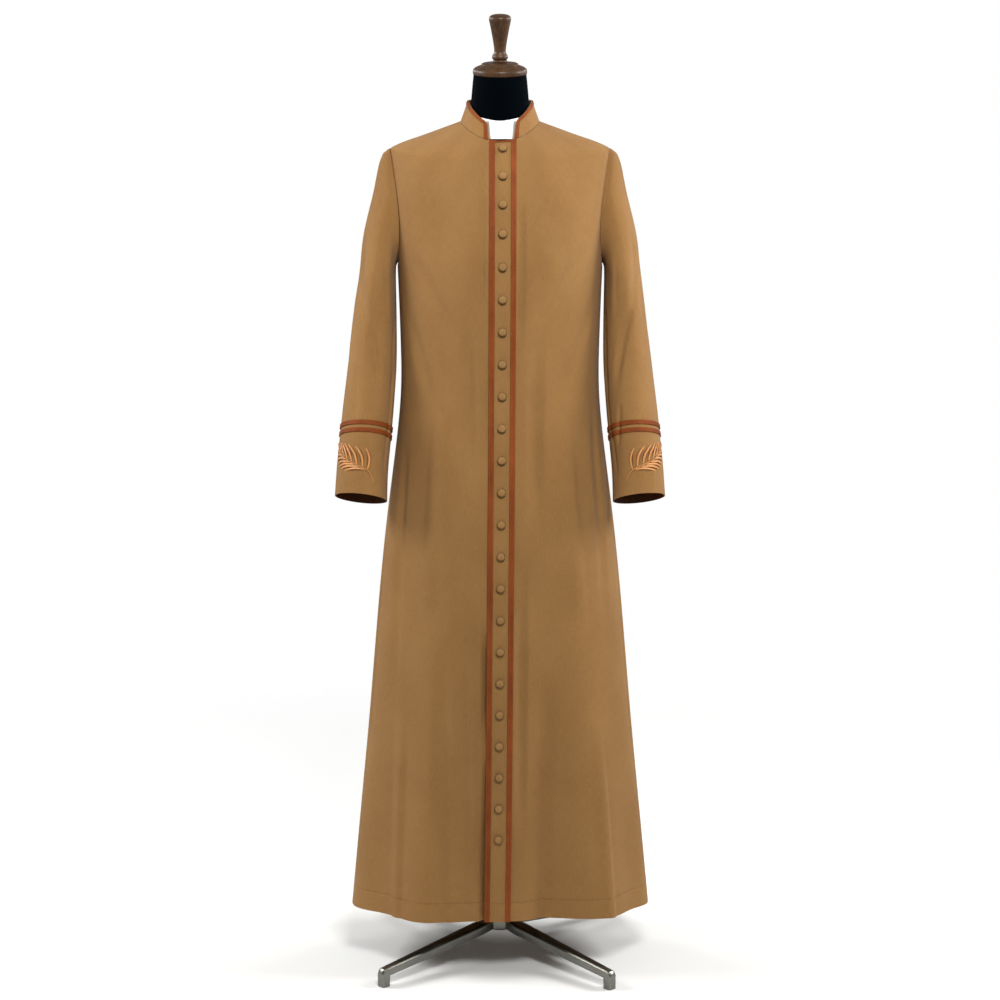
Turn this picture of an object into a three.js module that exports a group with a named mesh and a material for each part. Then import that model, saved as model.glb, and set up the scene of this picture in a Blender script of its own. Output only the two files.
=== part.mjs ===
// A clerical cassock on a limbless dress form, with a turned wooden finial and a four-legged metal base.
// Millimetres, +Z up, the front faces -Y, and left and right are the wearer's (left is +X).
// The origin is on the floor, at the centre of the base.
import * as THREE from "three";

// Driving dimensions
const CLOTH = 2.0; // suiting with its interfacing
const TRIM = 1.4; // folded trim
const SEAM_GAP = 0.4; // between two pieces that are sewn edge to edge
const LAY_GAP = 0.35; // between a piece and the one it lies on
const HEM_Z = 103;
const ARMPIT_Z = 1300;
const SHOULDER_Z = 1503;
const NECK_Z = 1553;
const FRONT_STRIPS = 14; // strips of cloth from the placket to the side
const BACK_STRIPS = 28;
const SLEEVE_STRIPS = 20;
const BUTTON_COUNT = 23;

// Colours, roughness and metalness, read from the garment
const FINISHES = {
  cloth: { color: 0xa8814f, roughness: 0.85, metalness: 0 },
  trim: { color: 0x8f4b2c, roughness: 0.7, metalness: 0 },
  insert: { color: 0xf4f4f2, roughness: 0.5, metalness: 0 },
  jersey: { color: 0x0a0d10, roughness: 0.9, metalness: 0 },
  wood: { color: 0x5d3a24, roughness: 0.45, metalness: 0 },
  metal: { color: 0xa9aaa6, roughness: 0.3, metalness: 1 },
};

const cassock = new THREE.Group();

function add(name, finish, geometry) {
  const mesh = new THREE.Mesh(geometry, new THREE.MeshStandardMaterial(FINISHES[finish]));
  mesh.name = name;
  cassock.add(mesh);
}

// Small helpers
const { clamp, degToRad, lerp, smoothstep } = THREE.MathUtils;
const vector = (x, y, z) => new THREE.Vector3(x, y, z);
const count = (length) => Array.from({ length }, (_, i) => i);
const evenly = (from, to, steps) => count(steps + 1).map((i) => lerp(from, to, i / steps));
const table = (columns, rows) => rows.map((row) => Object.fromEntries(columns.map((name, i) => [name, row[i]])));

// A curve through a table's rows, one column over another, that never overshoots them
function curve(rows, key, value) {
  const x = rows.map((row) => row[key]);
  const y = rows.map((row) => row[value]);
  const last = x.length - 1;
  const rise = count(last).map((i) => (y[i + 1] - y[i]) / (x[i + 1] - x[i]));
  const slope = x.map((_, i) => {
    if (i === 0) return rise[0];
    if (i === last) return rise[last - 1];
    const product = rise[i - 1] * rise[i];
    return product <= 0 ? 0 : (2 * product) / (rise[i - 1] + rise[i]);
  });
  return (at) => {
    const i = Math.max(0, Math.min(last, x.filter((value) => value <= at).length) - 1);
    const from = Math.min(i, last - 1);
    const step = x[from + 1] - x[from];
    const u = clamp((at - x[from]) / step, 0, 1);
    const rest = 1 - u;
    return (
      y[from] * (1 + 2 * u) * rest * rest + slope[from] * step * u * rest * rest +
      y[from + 1] * (3 - 2 * u) * u * u - slope[from + 1] * step * rest * u * u
    );
  };
}

function curves(columns, rows) {
  const made = table(columns, rows);
  const each = Object.fromEntries(columns.map((name) => [name, curve(made, columns[0], name)]));
  return (at) => Object.fromEntries(columns.map((name) => [name, each[name](at)]));
}

// Points and triangles as a geometry whose faces point out
function solid(points, triangles) {
  let volume = 0;
  for (let k = 0; k < triangles.length; k += 3) {
    const [a, b, c] = [0, 1, 2].map((corner) => points[triangles[k + corner]]);
    volume += a.dot(b.clone().cross(c));
  }
  const geometry = new THREE.BufferGeometry().setFromPoints(points);
  geometry.setIndex(volume < 0 ? [...triangles].reverse() : triangles);
  geometry.computeVertexNormals();
  return geometry;
}

// A closed sheet from a grid of points on its outer face and the same grid on its inner face.
// round joins the last column to the first one.
function sheet(outer, inner, round = false) {
  const rows = outer.length;
  const columns = outer[0].length;
  const strips = round ? columns : columns - 1;
  const at = (face, i, j) => (face * rows + i) * columns + (j % columns);
  const triangles = [];
  const quad = (a, b, c, d) => triangles.push(a, b, c, a, c, d);
  for (let i = 0; i < rows - 1; i++) {
    for (let j = 0; j < strips; j++) {
      quad(at(0, i, j), at(0, i, j + 1), at(0, i + 1, j + 1), at(0, i + 1, j));
      quad(at(1, i, j), at(1, i + 1, j), at(1, i + 1, j + 1), at(1, i, j + 1));
    }
  }
  for (let j = 0; j < strips; j++) {
    quad(at(0, 0, j), at(1, 0, j), at(1, 0, j + 1), at(0, 0, j + 1));
    quad(at(0, rows - 1, j), at(0, rows - 1, j + 1), at(1, rows - 1, j + 1), at(1, rows - 1, j));
  }
  for (let i = 0; i < rows - 1 && !round; i++) {
    quad(at(0, i, 0), at(0, i + 1, 0), at(1, i + 1, 0), at(1, i, 0));
    quad(at(0, i, strips), at(1, i, strips), at(1, i + 1, strips), at(0, i + 1, strips));
  }
  return solid([...outer.flat(), ...inner.flat()], triangles);
}

// A filled solid from a stack of rings, with a fan over each end
function stack(rings) {
  const size = rings[0].length;
  const middle = (ring) => ring.reduce((sum, p) => sum.add(p), vector(0, 0, 0)).divideScalar(size);
  const end = (rings.length - 1) * size;
  const low = rings.length * size;
  const triangles = [];
  for (let j = 0; j < size; j++) {
    const next = (j + 1) % size;
    for (let i = 0; i < end; i += size) {
      triangles.push(i + j, i + next, i + size + next, i + j, i + size + next, i + size + j);
    }
    triangles.push(low, next, j, low + 1, end + j, end + next);
  }
  return solid([...rings.flat(), middle(rings[0]), middle(rings.at(-1))], triangles);
}

// Normals of a grid of points, along its columns crossed with along its rows
function gridNormals(grid, round = false) {
  const columns = grid[0].length;
  return grid.map((row, i) =>
    row.map((_, j) => {
      const before = round ? (j + columns - 1) % columns : Math.max(j - 1, 0);
      const after = round ? (j + 1) % columns : Math.min(j + 1, columns - 1);
      const along = row[after].clone().sub(row[before]);
      const onward = grid[Math.min(i + 1, grid.length - 1)][j].clone().sub(grid[Math.max(i - 1, 0)][j]);
      return along.cross(onward).normalize();
    }),
  );
}

const moved = (grid, normals, distance) =>
  grid.map((row, i) => row.map((p, j) => p.clone().addScaledVector(normals[i][j], distance)));

// The body of the garment, in rings from the hem to the neckline. Each gives its height at the side, the front
// and the back, its half width, its reach forward and backward, and how square it is, where 2 is an ellipse.
const bodyRing = curves(
  ["side", "front", "back", "halfWidth", "forward", "backward", "squareness"],
  [
    [HEM_Z, 106, 104, 279, 152, 186, 2.3],
    [290, 290, 290, 261, 149, 175, 2.3],
    [480, 480, 480, 242, 144, 163, 2.3],
    [674, 674, 674, 226, 139, 155, 2.3],
    [836, 836, 836, 209, 134, 148, 2.3],
    [945, 945, 945, 194, 129, 138, 2.3],
    [1060, 1060, 1060, 180, 124, 125, 2.4],
    [1230, 1230, 1230, 184, 133, 128, 2.5],
    [ARMPIT_Z, 1300, 1300, 187, 136, 132, 2.5],
    [1400, 1398, 1400, 193, 126, 130, 2.4],
    [1465, 1456, 1465, 198, 109, 116, 2.2],
    [SHOULDER_Z, 1480, 1503, 201, 97, 99, 2],
    [1531, 1500, 1541, 132, 88, 79, 2],
    [NECK_Z, 1514, 1566, 72, 80, 62, 2],
  ],
);

// Soft folds that open towards the hem. Places round the body are counted in quarters from the centre front:
// 1 is the left side, 2 the centre back and -1 the right side. A negative depth goes in.
const FOLDS = table(
  ["place", "halfWidth", "depth", "top"],
  [
    [-0.29, 0.2, 27, 900],
    [-0.56, 0.14, -8, 760],
    [-0.78, 0.16, 5, 840],
    [0.22, 0.15, -20, 860],
    [0.44, 0.17, 15, 960],
    [0.68, 0.14, -8, 700],
    [0.86, 0.13, 3, 640],
    [1.2, 0.16, -10, 800],
    [1.42, 0.18, 13, 980],
    [1.66, 0.16, -15, 900],
    [1.88, 0.15, 15, 1020],
    [-1.16, 0.16, -9, 760],
    [-1.38, 0.18, 13, 940],
    [-1.62, 0.16, -14, 900],
    [-1.86, 0.15, 15, 1020],
  ],
);
const FOLD_SPREAD = 1.2;
const FLAT_FRONT = [0.06, 0.16]; // the placket keeps the cloth flat up to here, and the folds are whole from here
const TILT = 1.6; // how late a tilted ring leaves the height of its side

function foldDepth(place, side) {
  const free = smoothstep(Math.abs(place), ...FLAT_FRONT);
  return FOLDS.reduce((depth, fold) => {
    const away = Math.abs(place - fold.place) / fold.halfWidth;
    const open = Math.max(0, (fold.top - side) / (fold.top - HEM_Z)) ** FOLD_SPREAD;
    return away < 1 ? depth + free * fold.depth * open * Math.cos((away * Math.PI) / 2) ** 2 : depth;
  }, 0);
}

// The outer surface of the body, without its folds and with them
function bodyShape(anyPlace, side) {
  const place = anyPlace - 4 * Math.round(anyPlace / 4);
  const ring = bodyRing(side);
  const turn = (Math.abs(place) * Math.PI) / 2;
  const [across, along] = [Math.sin(turn), Math.cos(turn)];
  const square = (across ** ring.squareness + Math.abs(along) ** ring.squareness) ** (-1 / ring.squareness);
  const [reach, end] = along > 0 ? [ring.forward, ring.front] : [ring.backward, ring.back];
  return vector(
    Math.sign(place) * ring.halfWidth * across * square,
    -reach * along * square,
    side + (end - side) * Math.abs(along) ** TILT,
  );
}

function bodyPoint(place, side) {
  const point = bodyShape(place, side);
  const reach = 1 + foldDepth(place - 4 * Math.round(place / 4), side) / Math.hypot(point.x, point.y);
  return point.multiply(vector(reach, reach, 1));
}

// The normal there. Above the shoulder point it is that of the shoulder's slope.
function bodyNormal(place, side) {
  const low = side < SHOULDER_Z ? Math.max(side - 3, HEM_Z) : Math.min(side, NECK_Z - 4);
  const high = Math.min(side + (side < SHOULDER_Z ? 3 : 8), NECK_Z);
  const round = bodyPoint(place + 0.004, side).sub(bodyPoint(place - 0.004, side));
  return round.cross(bodyPoint(place, high).sub(bodyPoint(place, low))).normalize();
}

// The place where the front surface is x from the middle
function placeAt(x, side) {
  const ring = bodyRing(side);
  const share = (Math.abs(x) / ring.halfWidth) ** ring.squareness;
  const turn = Math.atan((share / (1 - share)) ** (1 / ring.squareness));
  return (Math.sign(x) * turn * 2) / Math.PI;
}

// Armholes: how far each panel stops short of the side, between the armpit and the shoulder point
const ARMHOLE_STEPS = SLEEVE_STRIPS / 2;
const ARMHOLE_INSET = { front: 0.25, back: 0.22 };
const ARMHOLE_SAG = 0.7; // below 1 puts the deepest scoop under the middle

function armholeInset(side, half) {
  const share = clamp((side - ARMPIT_Z) / (SHOULDER_Z - ARMPIT_Z), 0, 1);
  return ARMHOLE_INSET[half] * Math.sqrt(Math.max(0, Math.sin(Math.PI * share ** ARMHOLE_SAG)));
}

const ARMHOLE_SIDES = evenly(0, 1, ARMHOLE_STEPS).map(
  (u) => ARMPIT_Z + ((SHOULDER_Z - ARMPIT_Z) * (1 - Math.cos(Math.PI * u))) / 2,
);
const BODY_SIDES = [
  HEM_Z, 200, 320, 450, 590, 720, 840, 945, 1060, 1145, 1230, ...ARMHOLE_SIDES, 1514, 1527, 1538, 1546, NECK_Z,
];

// Closing: the placket's centre line leans a little, and the left front laps over the right one
const closingLine = curve(table(["side", "x"], [[HEM_Z, -5], [260, -2.7], [1500, 5.3], [NECK_Z, 5.3]]), "side", "x");
const EDGE_X = -24; // the left front's free edge, from the closing line
const UNDERLAP_X = 4; // the right front's edge, under the left one
const LEFT_COLUMNS = [EDGE_X, -10, UNDERLAP_X, 12, 20.5];
const RIGHT_COLUMNS = [UNDERLAP_X, -10, EDGE_X];
const lapOut = (x) => (CLOTH + LAY_GAP) * (1 - smoothstep(x, 12, 20.5));

// Moves a sewn edge in from its seam line, square to it
function drawIn(grid, normals, column, neighbour) {
  const moves = grid.map((row, i) => {
    const along = grid[Math.min(i + 1, grid.length - 1)][column].clone().sub(grid[Math.max(i - 1, 0)][column]);
    const square = along.cross(normals[i][column]).normalize();
    return square.multiplyScalar((Math.sign(square.dot(row[neighbour].clone().sub(row[column]))) * SEAM_GAP) / 2);
  });
  moves.forEach((move, i) => grid[i][column].add(move));
}

function frontPanel(name, sign, closing, lap) {
  const places = BODY_SIDES.map((side) => {
    const near = closing.map((x) => placeAt(closingLine(side) + x, side));
    const far = sign * (1 - armholeInset(side, "front"));
    return [...near, ...evenly(near.at(-1), far, FRONT_STRIPS).slice(1)];
  });
  const normals = places.map((row, i) => row.map((place) => bodyNormal(place, BODY_SIDES[i])));
  const points = places.map((row, i) => row.map((place) => bodyPoint(place, BODY_SIDES[i])));
  points.forEach((row, i) => closing.forEach((x, j) => row[j].addScaledVector(normals[i][j], lap(x))));
  drawIn(points, normals, places[0].length - 1, places[0].length - 2);
  add(name, "cloth", sheet(points, moved(points, normals, -CLOTH)));
  return { points, normals };
}

const leftFront = frontPanel("front_left", 1, LEFT_COLUMNS, lapOut);
frontPanel("front_right", -1, RIGHT_COLUMNS, () => 0);

// Back, in one piece from side seam to side seam
function backPanel() {
  const places = BODY_SIDES.map((side) => {
    const inset = armholeInset(side, "back");
    return evenly(1 + inset, 3 - inset, BACK_STRIPS);
  });
  const points = places.map((row, i) => row.map((place) => bodyPoint(place, BODY_SIDES[i])));
  const normals = places.map((row, i) => row.map((place) => bodyNormal(place, BODY_SIDES[i])));
  drawIn(points, normals, 0, 1);
  drawIn(points, normals, BACK_STRIPS, BACK_STRIPS - 1);
  return sheet(points, moved(points, normals, -CLOTH));
}

add("back", "cloth", backPanel());

// Placket and its trims, laid on the left front as strips between distances from the closing line
const PLACKET_HALF = 23.8;
const FRONT_TRIM_WIDTH = 10;
const ON_PLACKET = LAY_GAP + CLOTH + LAY_GAP;
const TOP_ROW = BODY_SIDES.length - 1;
const LAID_TOP_SHARE = 0.6; // of the last row's height, which keeps the strips clear of the collar
const trimInner = PLACKET_HALF - FRONT_TRIM_WIDTH;
const acrossTop = trimInner - LAY_GAP;

// A point on a row of the left front, x from the closing line, raised by a distance
function onLeftFront(row, x, raise) {
  const points = leftFront.points[row];
  const normals = leftFront.normals[row];
  const target = closingLine(BODY_SIDES[row]) + x;
  const next = Math.max(1, points.findIndex((p) => p.x > target));
  const u = (target - points[next - 1].x) / (points[next].x - points[next - 1].x);
  const normal = normals[next - 1].clone().lerp(normals[next], u).normalize();
  return points[next - 1].clone().lerp(points[next], u).addScaledVector(normal, raise);
}

function layOnFront(xs, raise, thickness, firstRow) {
  const rows = count(TOP_ROW - firstRow).map((i) => firstRow + i);
  const face = (height) => {
    const [below, top] = [TOP_ROW - 1, TOP_ROW].map((row) => xs.map((x) => onLeftFront(row, x, height)));
    const short = below.map((p, j) => p.clone().lerp(top[j], LAID_TOP_SHARE));
    return [...rows.map((row) => xs.map((x) => onLeftFront(row, x, height))), short];
  };
  return sheet(face(raise + thickness), face(raise));
}

add("placket", "cloth", layOnFront([-PLACKET_HALF, -10, UNDERLAP_X, 12, 20.5, PLACKET_HALF], LAY_GAP, CLOTH, 0));
add("front_trim_right", "trim", layOnFront([-PLACKET_HALF, -trimInner], ON_PLACKET, TRIM, 0));
add("front_trim_left", "trim", layOnFront([trimInner, 20.5, PLACKET_HALF], ON_PLACKET, TRIM, 0));
add("placket_top", "trim", layOnFront([-acrossTop, -10, UNDERLAP_X, 12, acrossTop], ON_PLACKET, TRIM, TOP_ROW - 1));

// Covered buttons down the placket
const BUTTON_PROFILE = [[0, 0], [7.2, 0], [8, 1.8], [5.8, 4.7], [0, 6]];
const BUTTON_SIDES = 10;
const buttonHeight = curve(
  table(["number", "z"], [[1, 1499], [4, 1351], [5, 1294], [BUTTON_COUNT, 260]]),
  "number",
  "z",
);

function buttonSeat(z) {
  const heights = BODY_SIDES.map((_, row) => onLeftFront(row, 0, 0).z);
  const row = heights.findIndex((height) => height > z) - 1;
  const [low, high] = [row, row + 1].map((i) => onLeftFront(i, 0, ON_PLACKET));
  const outwards = high.clone().sub(low).cross(vector(-1, 0, 0)).normalize();
  return { seat: low.lerp(high, (z - heights[row]) / (heights[row + 1] - heights[row])), outwards };
}

for (let number = 1; number <= BUTTON_COUNT; number++) {
  const { seat, outwards } = buttonSeat(buttonHeight(number));
  const profile = BUTTON_PROFILE.map(([radius, height]) => new THREE.Vector2(radius, height));
  const button = new THREE.LatheGeometry(profile, BUTTON_SIDES);
  button.applyQuaternion(new THREE.Quaternion().setFromUnitVectors(vector(0, 1, 0), outwards));
  button.translate(seat.x, seat.y, seat.z);
  add(`button_${String(number).padStart(2, "0")}`, "cloth", button);
}

// Collar: a band that stands on the neckline and is open at the front
const COLLAR_STRIPS = 24;
const COLLAR_RISES = [0, 0.35, 0.7, 1];
const COLLAR_FOOT_HALF_WIDTH = 72;
const COLLAR_TOP = { side: 1590, front: 1543, back: 1600, halfWidth: 58.5, forward: 70, backward: 54 };
const NOTCH = { left: [24, 29.5], right: [-19.5, -22.5] }; // x at the collar's foot and top

function collarPoint(anyPlace, rise) {
  const foot = bodyShape(anyPlace, NECK_Z).add(vector(0, 0, SEAM_GAP));
  const turn = (anyPlace * Math.PI) / 2;
  const along = Math.cos(turn);
  const [reach, end] = along > 0 ? [COLLAR_TOP.forward, COLLAR_TOP.front] : [COLLAR_TOP.backward, COLLAR_TOP.back];
  const height = COLLAR_TOP.side + (end - COLLAR_TOP.side) * Math.abs(along) ** TILT;
  return foot.lerp(vector(COLLAR_TOP.halfWidth * Math.sin(turn), -reach * along, height), rise);
}

function collarPlace(share, rise) {
  const halfWidth = lerp(COLLAR_FOOT_HALF_WIDTH, COLLAR_TOP.halfWidth, rise);
  const [left, right] = [NOTCH.left, NOTCH.right].map(
    ([foot, top]) => (Math.asin(lerp(foot, top, rise) / halfWidth) * 2) / Math.PI,
  );
  return lerp(left, 4 + right, share);
}

const collarGrid = COLLAR_RISES.map((rise) =>
  evenly(0, 1, COLLAR_STRIPS).map((share) => collarPoint(collarPlace(share, rise), rise)),
);
const collarNormals = gridNormals(collarGrid);
add("collar", "cloth", sheet(collarGrid, moved(collarGrid, collarNormals, -CLOTH)));

// The collar's face at a share of its length and height, raised by a distance
function onCollar(share, rise, raise) {
  const j = Math.min(Math.floor(share * COLLAR_STRIPS), COLLAR_STRIPS - 1);
  const i = Math.max(0, COLLAR_RISES.findIndex((value) => value >= rise) - 1);
  const u = share * COLLAR_STRIPS - j;
  const v = (rise - COLLAR_RISES[i]) / (COLLAR_RISES[i + 1] - COLLAR_RISES[i]);
  const between = (grid, row) => grid[row][j].clone().lerp(grid[row][j + 1], u);
  const mix = (grid) => between(grid, i).lerp(between(grid, i + 1), v);
  return mix(collarGrid).addScaledVector(mix(collarNormals).normalize(), raise);
}

// Collar trim: up one notch edge, round the top and down the other, with mitred corners
const TRIM_INNER_SHARE = 0.024; // of the collar's length
const TRIM_OUTER_SHARE = 0.004;
const TRIM_LOW_RISE = 0.81;

function collarTrim() {
  const climb = COLLAR_RISES.slice(0, -1);
  const outer = [
    ...climb.map((rise) => [TRIM_OUTER_SHARE, rise]),
    ...evenly(0, 1, COLLAR_STRIPS).map((share) => [clamp(share, TRIM_OUTER_SHARE, 1 - TRIM_OUTER_SHARE), 1]),
    ...climb.toReversed().map((rise) => [1 - TRIM_OUTER_SHARE, rise]),
  ];
  const inner = outer.map(([share, rise]) => [
    clamp(share, TRIM_INNER_SHARE, 1 - TRIM_INNER_SHARE),
    Math.min(rise, TRIM_LOW_RISE),
  ]);
  const face = (raise) => [inner, outer].map((edge) => edge.map(([share, rise]) => onCollar(share, rise, raise)));
  return sheet(face(LAY_GAP + TRIM), face(LAY_GAP));
}

add("collar_trim", "trim", collarTrim());

// Collar tab: the white insert that shows in the notch, tucked behind the collar and the fronts
const TAB = 1.0;
const TAB_REACH = 0.43; // to each side, in places
const TAB_PLACES = evenly(-TAB_REACH, TAB_REACH, 8);
const TAB_RISE = 0.3; // above the notch, as a share of the collar's height
const TAB_DEPTH = CLOTH + 2 * LAY_GAP;

function collarTab() {
  const rows = [
    TAB_PLACES.map((place) => bodyShape(place, 1540)),
    TAB_PLACES.map((place) => bodyShape(place, NECK_Z)),
    TAB_PLACES.map((place) => collarPoint(place, 0.5)),
    TAB_PLACES.map((place) => collarPoint(place, 1 + TAB_RISE * (1 - (place / TAB_REACH) ** 2))),
  ];
  const normals = gridNormals(rows);
  return sheet(moved(rows, normals, -TAB_DEPTH), moved(rows, normals, -TAB_DEPTH - TAB));
}

add("collar_tab", "insert", collarTab());

// Sleeves. Below the shoulder each is a row of rings: the centre, the half width across, the half depth
// from front to back, and how far the ring leans forward and its outer side up with the forearm, in degrees.
const sleeveRing = curves(
  ["z", "x", "y", "across", "deep", "lean", "roll"],
  [
    [877, 251, -92, 48, 60, 16, 5.4],
    [925, 249.5, -77, 47, 61, 16.5, 4.2],
    [975, 245, -62, 47, 62, 17, 3],
    [1020, 241, -49, 47, 63, 16, 1.8],
    [1070, 236.5, -35, 46, 66, 13, 1],
    [1110, 233, -25, 45, 69, 10, 0.5],
    [1190, 228, -11, 40, 73, 5, 0],
    [1272, 223, -4, 33.5, 78, 0, 0],
  ],
);
const CUFF_SEAM_Z = 1000;
const CAP_SHARES = [0.1, 0.24, 0.42, 0.62, 0.82];
const CAP_FULLNESS = 0.42; // how far the cap stands out from the armhole before it falls, as a share of its length
const CAP_HEAD = 0.06; // more of it at the shoulder point
const CAP_FALL = 0.85;
const SLEEVE_STATIONS = [1272, 1240, 1205, 1170, 1135, 1105, 1078, 1050, 1026, 1008];
const CUFF_STATIONS = [990, 965, 935, 905, 877];

// Drag folds of the sleeves: where they lie round the sleeve (degrees from the outer side towards the front),
// how wide they are, the heights they run between, and how far the cloth moves out
const SLEEVE_FOLDS = table(
  ["angle", "halfWidth", "low", "high", "depth"],
  [
    [60, 36, 1040, 1330, 3],
    [105, 34, 1060, 1300, -4],
    [140, 30, 1120, 1260, 3],
    [-50, 40, 1030, 1320, 3],
    [-100, 36, 1050, 1290, -4],
  ],
);

function sleeveFold(angle, z) {
  return SLEEVE_FOLDS.reduce((depth, fold) => {
    const turn = Math.abs(((angle - fold.angle + 540) % 360) - 180) / fold.halfWidth;
    const height = Math.abs((2 * z - fold.low - fold.high) / (fold.high - fold.low));
    if (turn >= 1 || height >= 1) return depth;
    return depth + fold.depth * Math.cos((turn * Math.PI) / 2) ** 2 * Math.cos((height * Math.PI) / 2) ** 2;
  }, 0);
}

function sleevePoint(j, z) {
  const ring = sleeveRing(z);
  const angle = (360 * j) / SLEEVE_STRIPS;
  const lean = degToRad(ring.lean);
  const full = 1 + sleeveFold(angle, z) / ring.deep;
  const across = ring.across * full * Math.cos(degToRad(angle));
  const forward = ring.deep * full * Math.sin(degToRad(angle));
  const rise = forward * Math.sin(lean) + across * Math.tan(degToRad(ring.roll));
  return vector(ring.x + across, ring.y - forward * Math.cos(lean), z + rise);
}

// The armhole's edge, from the shoulder point down the front to the armpit and up the back
function armholeLoop() {
  const edge = (side, half) => {
    const place = half === "front" ? 1 - armholeInset(side, half) : 1 + armholeInset(side, half);
    return { point: bodyPoint(place, side), normal: bodyNormal(place, side) };
  };
  const down = ARMHOLE_SIDES.toReversed().map((side) => edge(side, "front"));
  const up = ARMHOLE_SIDES.slice(1, -1).map((side) => edge(side, "back"));
  return [...down, ...up];
}

// One line of the sleeve cap for each point of the loop, from the armhole to the first full ring.
// square points from the sewn panel to the sleeve.
function capLine({ point, normal }, j, loop) {
  const middle = loop.reduce((sum, each) => sum.add(each.point), vector(0, 0, 0)).divideScalar(loop.length);
  const along = loop[(j + 1) % loop.length].point.clone().sub(loop.at(j - 1).point);
  const square = along.cross(normal).normalize();
  square.multiplyScalar(Math.sign(square.dot(middle.sub(point))));
  const start = point.clone().addScaledVector(square, SEAM_GAP / 2);
  const end = sleevePoint(j, SLEEVE_STATIONS[0]);
  const span = end.distanceTo(start);
  const angle = (2 * Math.PI * j) / SLEEVE_STRIPS;
  const top = Math.cos(angle / 2) ** 2;
  const leave = vector(0.75 + 0.25 * top, -0.4 * Math.sin(angle), -0.25);
  const arrive = vector(0.05, -0.04, -1);
  return {
    start, end, square,
    leave: leave.setLength((CAP_FULLNESS + CAP_HEAD * top) * span),
    arrive: arrive.setLength(CAP_FALL * span),
  };
}

function capPoint({ start, end, leave, arrive }, u) {
  const rest = 1 - u;
  return vector(0, 0, 0)
    .addScaledVector(start, (1 + 2 * u) * rest * rest)
    .addScaledVector(leave, u * rest * rest)
    .addScaledVector(end, (3 - 2 * u) * u * u)
    .addScaledVector(arrive, -rest * u * u);
}

const capLines = armholeLoop().map(capLine);
const sleeveLoop = (z) => count(SLEEVE_STRIPS).map((j) => sleevePoint(j, z));
const sleeveGrid = [
  ...[0, ...CAP_SHARES].map((share) => capLines.map((line) => capPoint(line, share))),
  ...[...SLEEVE_STATIONS, CUFF_SEAM_Z + SEAM_GAP / 2].map(sleeveLoop),
];
const cuffGrid = [CUFF_SEAM_Z - SEAM_GAP / 2, ...CUFF_STATIONS].map(sleeveLoop);
const sleeveNormals = gridNormals(sleeveGrid, true);

// At the armhole the sleeve's edge never leans into the panel that it is sewn to
capLines.forEach(({ square }, j) => {
  const into = Math.max(0, sleeveNormals[0][j].dot(square));
  sleeveNormals[0][j].addScaledVector(square, -into).normalize();
});

const mirror = (grid) => grid.map((row) => row.map((p) => vector(-p.x, p.y, p.z)));

function addPair(name, finish, outer, inner) {
  add(`${name}_left`, finish, sheet(outer, inner, true));
  add(`${name}_right`, finish, sheet(mirror(outer), mirror(inner), true));
}

addPair("sleeve", "cloth", sleeveGrid, moved(sleeveGrid, sleeveNormals, -CLOTH));
addPair("cuff", "cloth", cuffGrid, moved(cuffGrid, gridNormals(cuffGrid, true), -CLOTH));

// Cuff trims: two bands round each sleeve, the upper one over the cuff's seam
const CUFF_TRIMS = { cuff_trim_upper: [1004.3, CUFF_SEAM_Z, 996], cuff_trim_lower: [990.8, 982.5] };
for (const [name, heights] of Object.entries(CUFF_TRIMS)) {
  const grid = heights.map(sleeveLoop);
  const normals = gridNormals(grid, true);
  addPair(name, "trim", moved(grid, normals, LAY_GAP + TRIM), moved(grid, normals, LAY_GAP));
}

// Dress form: the torso keeps just under the garment on the shoulders, where it carries it, and further in elsewhere
const FORM_BOTTOM_Z = 850;
const FORM_PLACES = evenly(-2, 2, 28).slice(1);
const REST = CLOTH + 2 * LAY_GAP;
const NECK_ROOM = 5; // more depth before and behind, for the insert
const formDepth = curves(
  ["side", "depth"],
  [
    [FORM_BOTTOM_Z, 22],
    [1230, 14],
    [1400, 9],
    [1475, 6],
    [1514, REST],
    [1546, REST],
    [NECK_Z, REST + 1.4],
  ],
);
const FORM_SIDES = [FORM_BOTTOM_Z, 945, 1060, 1145, 1230, ARMPIT_Z, 1350, 1400, 1440, 1475, 1503, 1514, 1527, 1538, 1546, NECK_Z];

function formRing(side) {
  return FORM_PLACES.map((place) => {
    const depth = formDepth(side).depth + NECK_ROOM * (1 - Math.abs(Math.sin((place * Math.PI) / 2)));
    const point = bodyShape(place, side).addScaledVector(bodyNormal(place, side), -depth);
    return side < ARMPIT_Z ? point.setZ(side) : point;
  });
}

// Its neck leans forward, in rings: the centre, the radius and the lean in degrees
const NECK_LEAN = 10.5;
const NECK_TOP = { y: -24, z: 1634, radius: 48 };
const NECK_RINGS = table(
  ["z", "y", "radius", "lean"],
  [
    [1550, -3, 58, 14],
    [1563, -6.6, 54.8, 12.5],
    [1580, -11, 53, 11.5],
    [1605, -17.6, 51.2, NECK_LEAN],
    [NECK_TOP.z, NECK_TOP.y, NECK_TOP.radius, NECK_LEAN],
  ],
);

function neckRing({ z, y, radius, lean }) {
  return FORM_PLACES.map((place) => {
    const forward = radius * Math.cos((place * Math.PI) / 2);
    const aside = radius * Math.sin((place * Math.PI) / 2);
    return vector(aside, y - forward * Math.cos(degToRad(lean)), z - forward * Math.sin(degToRad(lean)));
  });
}

add("form_torso", "jersey", stack([...FORM_SIDES.map(formRing), ...NECK_RINGS.map(neckRing)]));

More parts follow.
